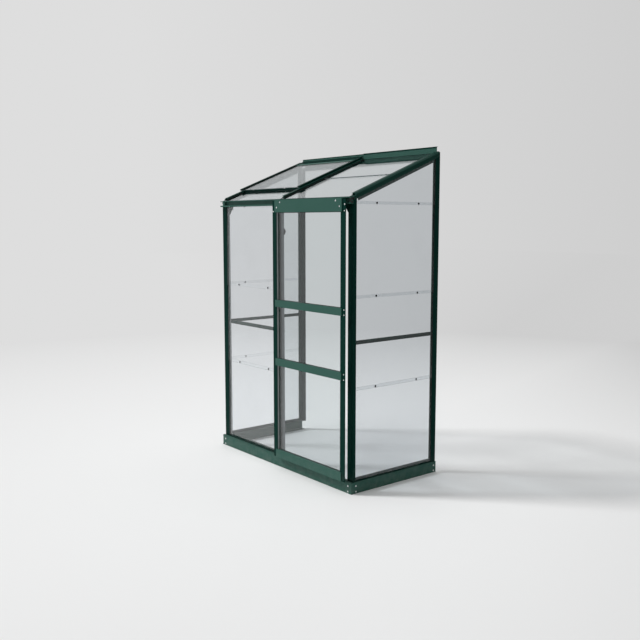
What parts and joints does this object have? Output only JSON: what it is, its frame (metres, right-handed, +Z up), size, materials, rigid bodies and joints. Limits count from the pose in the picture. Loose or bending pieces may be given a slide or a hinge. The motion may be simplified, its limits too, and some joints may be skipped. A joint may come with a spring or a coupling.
{
  "type": "lean-to greenhouse",
  "caption": "Narrow glazed lean-to greenhouse for a house wall, green aluminium frame, sliding door hung in front of the frame and an opening roof vent.",
  "frame": {"origin": "centre of the footprint on the ground, midway between the house wall and the front of the door", "axes": "+X to the right as seen from in front, +Y towards the house wall, +Z up; the door is at the -Y side"},
  "size_m": [1.29, 0.69, 1.87],
  "materials": {
    "rail_paint": "green powder coat, semi-gloss",
    "bar_paint": "green powder coat, semi-gloss",
    "wall_glass": "clear",
    "roof_glass": "clear",
    "zinc_steel": "zinc plated",
    "black_nylon": "black, moulded"
  },
  "bodies": {
    "frame": {"base_front_rail": "rail_paint", "base_left_rail": "rail_paint", "base_right_rail": "rail_paint", "eaves_beam": "rail_paint", "ridge_bar": "rail_paint", "ridge_cover": "rail_paint", "corner_post_left": "bar_paint", "corner_post_right": "bar_paint", "middle_post": "bar_paint", "wall_post_left": "bar_paint", "wall_post_right": "bar_paint", "left_side_sill": "bar_paint", "right_side_sill": "bar_paint", "front_sill": "bar_paint", "left_side_brace": "bar_paint", "right_side_brace": "bar_paint", "front_brace": "bar_paint", "eaves_gusset_left": "bar_paint", "eaves_gusset_right": "bar_paint", "gable_bar_left": "bar_paint", "gable_bar_right": "bar_paint", "centre_roof_bar": "bar_paint", "vent_sill_bar": "bar_paint", "left_pane_1": "wall_glass", "left_pane_2": "wall_glass", "left_pane_3": "wall_glass", "left_pane_4": "wall_glass", "right_pane_1": "wall_glass", "right_pane_2": "wall_glass", "right_pane_3": "wall_glass", "right_pane_4": "wall_glass", "front_pane_1": "wall_glass", "front_pane_2": "wall_glass", "front_pane_3": "wall_glass", "roof_pane_lower": "roof_glass", "roof_pane_upper": "roof_glass", "roof_pane_fixed": "roof_glass", "door_stop_left": "black_nylon", "door_stop_right": "black_nylon"},
    "door": {"door_stile_left": "bar_paint", "door_stile_right": "bar_paint", "door_bottom_rail": "rail_paint", "door_lower_rail": "rail_paint", "door_upper_rail": "rail_paint", "door_top_rail": "rail_paint", "door_pane_bottom": "wall_glass", "door_pane_lower": "wall_glass", "door_pane_upper": "wall_glass", "door_axle_left": "zinc_steel", "door_axle_right": "zinc_steel", "door_guide_left": "black_nylon", "door_guide_right": "black_nylon"},
    "wheel_left": {"door_wheel_left": "black_nylon"},
    "wheel_right": {"door_wheel_right": "black_nylon"},
    "vent": {"vent_top_rail": "bar_paint", "vent_bottom_rail": "bar_paint", "vent_stile_left": "bar_paint", "vent_stile_right": "bar_paint", "vent_pane": "roof_glass"},
    "vent_stay": {"vent_stay_arm": "zinc_steel"}
  },
  "joints": [
    {"name": "door_slide", "type": "slide", "parent": "frame", "child": "door", "axis": [-1, 0, 0], "range_m": [0, 0.61]},
    {"name": "wheel_left_spin", "type": "hinge", "parent": "door", "child": "wheel_left", "pos_m": [0.06, -0.3003, 1.5588], "axis": [0, -1, 0], "continuous": true},
    {"name": "wheel_right_spin", "type": "hinge", "parent": "door", "child": "wheel_right", "pos_m": [0.546, -0.3003, 1.5588], "axis": [0, -1, 0], "continuous": true},
    {"name": "vent_hinge", "type": "hinge", "parent": "frame", "child": "vent", "pos_m": [0, 0.335, 1.84904], "axis": [-1, 0, 0], "range_deg": [0, 45]},
    {"name": "stay_swing", "type": "hinge", "parent": "vent", "child": "vent_stay", "pos_m": [-0.46, -0.14189, 1.66167], "axis": [0, -0.3657, 0.9307], "range_deg": [0, 90]}
  ],
  "couplings": [
    {"joint": "wheel_left_spin", "follows": "door_slide", "rad_per_m": 90.909},
    {"joint": "wheel_right_spin", "follows": "door_slide", "rad_per_m": 90.909}
  ]
}
